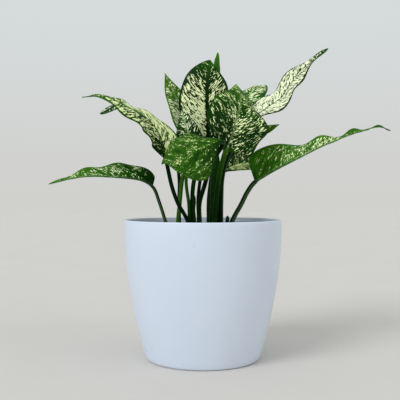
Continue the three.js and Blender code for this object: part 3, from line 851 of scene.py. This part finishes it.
leafSkin = {
    "greens": ("#041c04", "#0f3606", "#2c600b", "#4d8516", "#7fa62e"),
    "oliveTint": (1.4, 1, 0.6, 1),     # the green is multiplied by these at hue 0 and hue 1
    "blueTint": (0.6, 1, 1.4, 1),
    "cream": "#f4fad6",
    # the yellower cream is partly painted light shining through the leaf
    "yellowCreamAndGlow": "#d3e47e",
    "fleckEdge": "#42700f",
    "midrib": "#9db877",
    "underside": "#5f8053",
    "fleckSize": (1.4, 3.2),           # mm from vein to vein, and outwards along the veins
    "blotchSize": (6, 11),
    "fleckShare": 0.74,                # of what makes a streak, the rest comes from the blotches
    "creamLevel": (0.68, 0.34),        # streaks above this are cream, at cream 0 and at cream 1
    "plainWander": 2.5,                # mm by which the plain band and margin wander
    "veinShade": -0.06,                # this and the next two shift the green along its scale
    "cloudiness": 0.5,
    "mottling": 0.3,
    "poresPerMm": (2, 1.4),
    "roughness": (0.65, 0.45),         # underneath and on top
}


# Chinese evergreen leaf: a smooth waxy skin with a dull shine. Cream flecks about 1.5 mm wide and
# 3 mm long lie along the side veins, each with a faint lighter green edge, and stop short of the
# midrib and the margin. Its level of gloss is kept low, so that the greens stay deep.
def waxyLeaf():
    material, tree, shader = newMaterial("waxy_flecked_leaf_skin", {
        "IOR": 1.45, "Specular IOR Level": 0.05})
    course, coat, edge, toneOf = [
        addNode(tree, "Attribute", attribute_name=name).outputs["Vector"]
        for name in ("veinCourse", "leafCoatAndShade", "leafEdge", "leafTone")]
    courseParts, coatParts, edgeParts, toneParts = [
        addNode(tree, "SeparateXYZ", {"Vector": vector}).outputs
        for vector in (course, coat, edge, toneOf)]
    upperSide = coatParts["Z"]

    # two sizes of streak, stretched along the side veins
    fleckWide, fleckLong = leafSkin["fleckSize"]
    blotchWide, blotchLong = leafSkin["blotchSize"]
    fineCourse = addNode(tree, "VectorMath", {
        0: course, "Scale": edgeParts["Z"]}, operation="SCALE")
    fleckPlace = addNode(tree, "VectorMath", {
        0: fineCourse, 1: (1 / fleckWide, 1 / fleckLong, 1)}, operation="MULTIPLY")
    fleck = addNode(tree, "TexNoise", {
        "Vector": fleckPlace, "Scale": 1, "Detail": 2, "Roughness": 0.55, "Distortion": 0.4})
    blotchPlace = addNode(tree, "VectorMath", {
        0: course, 1: (1 / blotchWide, 1 / blotchLong, 1)}, operation="MULTIPLY")
    blotch = addNode(tree, "TexNoise", {"Vector": blotchPlace, "Scale": 1, "Detail": 1})
    blotchPart = addNode(tree, "Math", {
        0: blotch, 1: 1 - leafSkin["fleckShare"]}, operation="MULTIPLY")
    streaks = addNode(tree, "Math", {
        0: fleck, 1: leafSkin["fleckShare"], 2: blotchPart}, operation="MULTIPLY_ADD")

    # more cream lowers the level above which a streak is cream
    bare, full = leafSkin["creamLevel"]
    level = addNode(tree, "MapRange", {"Value": coatParts["X"], "To Min": bare, "To Max": full})
    over = addNode(tree, "Math", {0: streaks, 1: level}, operation="SUBTRACT")
    plain = leafSkin["plainWander"]
    wander = addNode(tree, "Math", {0: fleck, 1: 2 * plain, 2: -plain}, operation="MULTIPLY_ADD")
    ribGap = addNode(tree, "Math", {0: edgeParts["X"], 1: wander}, operation="ADD")
    marginGap = addNode(tree, "Math", {0: edgeParts["Y"], 1: wander}, operation="ADD")
    offRib = addNode(tree, "MapRange", {
        "Value": ribGap, "From Max": 0.7}, interpolation_type="SMOOTHSTEP")
    offMargin = addNode(tree, "MapRange", {
        "Value": marginGap, "From Max": 0.7}, interpolation_type="SMOOTHSTEP")
    flecked = addNode(tree, "Math", {0: offRib, 1: offMargin}, operation="MULTIPLY")
    creamCore = addNode(tree, "MapRange", {
        "Value": over, "From Max": 0.012}, interpolation_type="SMOOTHSTEP")
    creamEdge = addNode(tree, "MapRange", {
        "Value": over, "From Min": -0.03, "From Max": 0.01, "To Max": 0.3},
        interpolation_type="SMOOTHSTEP")
    creamMask = addNode(tree, "Math", {0: creamCore, 1: flecked}, operation="MULTIPLY")
    edgeMask = addNode(tree, "Math", {0: creamEdge, 1: flecked}, operation="MULTIPLY")

    # the green varies in broad clouds and is a little darker along the side veins
    veinTurn = addNode(tree, "Math", {
        0: courseParts["X"], 1: 2 * math.pi / leafForm["veinSpacing"]}, operation="MULTIPLY")
    veinWave = addNode(tree, "Math", {0: veinTurn}, operation="COSINE")
    veinShade = addNode(tree, "MapRange", {
        "Value": veinWave, "From Min": 0.6, "To Max": leafSkin["veinShade"]})
    cloudy = leafSkin["cloudiness"]
    clouds = addNode(tree, "Math", {
        0: blotch, 1: cloudy, 2: -cloudy / 2}, operation="MULTIPLY_ADD")
    # the green scale read here carries painted shade on the blades and down the stalks
    clouded = addNode(tree, "Math", {0: coatParts["Y"], 1: clouds}, operation="ADD")
    veined = addNode(tree, "Math", {0: clouded, 1: veinShade}, operation="ADD")
    mottle = addNode(tree, "Math", {0: fleck, 1: 0.5}, operation="SUBTRACT")
    shade = addNode(tree, "Math", {
        0: mottle, 1: leafSkin["mottling"], 2: veined}, operation="MULTIPLY_ADD")
    greens = leafSkin["greens"]
    green = addNode(tree, "ValToRGB", {"Fac": shade},
                    [(step / (len(greens) - 1), tone) for step, tone in enumerate(greens)])
    hueShift = addNode(tree, "Mix", {
        "Factor": toneParts["X"], "A": leafSkin["oliveTint"],
        "B": leafSkin["blueTint"]}, data_type="RGBA")
    hued = addNode(tree, "Mix", {
        "Factor": 1, "A": green, "B": hueShift}, data_type="RGBA", blend_type="MULTIPLY")

    # a paler midrib, the lighter edge of each fleck, and the fleck itself
    fromMiddle = addNode(tree, "Math", {0: courseParts["Y"]}, operation="ABSOLUTE")
    ribLine = addNode(tree, "MapRange", {
        "Value": fromMiddle, "From Min": 1.5, "From Max": 0.5}, interpolation_type="SMOOTHSTEP")
    ribMask = addNode(tree, "Math", {0: ribLine, 1: toneParts["Y"]}, operation="MULTIPLY")
    ribbed = addNode(tree, "Mix", {
        "Factor": ribMask, "A": hued, "B": linearColor(leafSkin["midrib"])}, data_type="RGBA")
    edged = addNode(tree, "Mix", {
        "Factor": edgeMask, "A": ribbed, "B": linearColor(leafSkin["fleckEdge"])},
        data_type="RGBA")
    # leafTone Z turns the cream yellower, partly painted light shining through the leaf
    cream = addNode(tree, "Mix", {
        "Factor": toneParts["Z"], "A": linearColor(leafSkin["cream"]),
        "B": linearColor(leafSkin["yellowCreamAndGlow"])}, data_type="RGBA")
    body = addNode(tree, "Mix", {"Factor": creamMask, "A": edged, "B": cream}, data_type="RGBA")

    # the underside is paler and more matt, and fine pores roughen both sides
    under = addNode(tree, "Mix", {
        "Factor": 0.4, "A": body, "B": linearColor(leafSkin["underside"])}, data_type="RGBA")
    skin = addNode(tree, "Mix", {"Factor": upperSide, "A": under, "B": body}, data_type="RGBA")
    matt, waxy = leafSkin["roughness"]
    gloss = addNode(tree, "MapRange", {"Value": upperSide, "To Min": matt, "To Max": waxy})
    poresPlace = addNode(tree, "VectorMath", {
        0: course, 1: (*leafSkin["poresPerMm"], 1)}, operation="MULTIPLY")
    pores = addNode(tree, "TexNoise", {"Vector": poresPlace, "Scale": 1, "Detail": 2})
    bump = addNode(tree, "Bump", {"Strength": 0.15, "Distance": 0.3 * mm, "Height": pores})
    setSockets(tree, shader, {"Base Color": skin, "Roughness": gloss, "Normal": bump})
    return material


leafMaterial = waxyLeaf()
for seed, shape in enumerate(leafShapes, 1):
    node = shape["name"]
    name = "leafSkin" + "".join(word.capitalize() for word in node.split("_")[1:])
    if "rolledRadius" in shape:
        leafPiece = rollShoot(name, shape, seed)
    else:
        leafPiece = shapeLeaf(name, shape, seed)
    leafPiece.data.materials.append(leafMaterial)
    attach(leafPiece, "root")
    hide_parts(node)
print("leaves:", len(leafShapes))


# The canes that the stalks stand round, and a new shoot, laid out as a leaf's stalk and rib are.
caneShapes = [
    {
        "name": "cane_left", "root": [-11.5, 4],
        "stalk": [[-11.5, 4, 136]],
        "rib": [[-11.2, 4.6, 146], [-10.6, 6, 156], [-9.6, 8, 166]],
        "stalkRadius": 3.2,
    },
    {
        "name": "cane_right", "root": [11.2, 0.2],
        "stalk": [[11.2, 0.2, 136]],
        "rib": [[11.2, 0.6, 148], [11.8, 2, 164], [12.4, 3.4, 184], [15, 5, 208]],
        "stalkRadius": 4.6,
    },
    {
        "name": "new_shoot", "root": [24.5, -4],
        "stalk": [[24.5, -4, 128]],
        "rib": [[24.5, -4, 132], [24.7, -4, 138], [25, -4, 144.5]],
        "stalkRadius": 2, "stalkToneAndShade": 0.1,
    },
]

for seed, shape in enumerate(caneShapes, 20):
    node = shape["name"]
    name = "skin" + "".join(word.capitalize() for word in node.split("_"))
    canePiece = rollShoot(name, shape, seed)
    canePiece.data.materials.append(leafMaterial)
    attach(canePiece, "root")
    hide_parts(node)
print("canes and shoot:", len(caneShapes))


def scatterLumps(name, count, sizes, seed, material):
    # one uneven lump, copied over the soil half sunk, clear of the stalks and the wall
    dice = random.Random(seed)
    stems = [(shape["root"], shape["stalkRadius"]) for shape in leafShapes + caneShapes]
    reach = potRadius(soil["top"]) - pot["wall"] - soil["wallRoom"]
    deselectAll()
    bpy.ops.mesh.primitive_ico_sphere_add(subdivisions=1, radius=mm)
    lump = bpy.context.object
    bpy.ops.object.mode_set(mode="EDIT")
    bpy.ops.mesh.select_all(action="SELECT")
    bpy.ops.transform.vertex_random(offset=soil["lumpUnevenness"] * mm, seed=seed)
    bpy.ops.mesh.normals_make_consistent(inside=False)
    bpy.ops.object.mode_set(mode="OBJECT")
    lumps = []
    while len(lumps) < count:
        turn = dice.uniform(0, 2 * math.pi)
        away = reach * math.sqrt(dice.random())
        x, y = away * math.cos(turn), away * math.sin(turn)
        size = dice.uniform(*sizes)
        room = size + soil["stemRoom"]
        if any(math.hypot(x - root[0], y - root[1]) < radius + room for root, radius in stems):
            continue
        another = lump.copy()
        another.data = lump.data.copy()
        scene.collection.objects.link(another)
        z = float(soilHeight(x, y)) + soil["lumpLift"] * size
        another.location = Vector((x, y, z)) * mm
        another.rotation_euler = [dice.uniform(0, 2 * math.pi) for axis in range(3)]
        another.scale = [size, size * dice.uniform(*soil["lumpWidth"]),
                         size * dice.uniform(*soil["lumpHeight"])]
        lumps.append(another)
    deselectAll()
    for another in lumps:
        another.select_set(True)
    bpy.context.view_layer.objects.active = lumps[0]
    bpy.ops.object.join()
    bpy.ops.object.transform_apply(location=True, rotation=True, scale=True)
    bpy.data.objects.remove(lump)
    piece = bpy.context.object
    piece.name = name
    piece.data.materials.append(material)
    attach(piece, "root")


scatterLumps("soilCrumbs", soil["crumbs"], soil["crumbSize"], soil["seed"], pottingMaterial)
scatterLumps("perliteGrains", soil["grains"], soil["grainSize"], soil["seed"] + 1, poppedPerlite())
print("soil crumbs:", soil["crumbs"], "perlite grains:", soil["grains"])
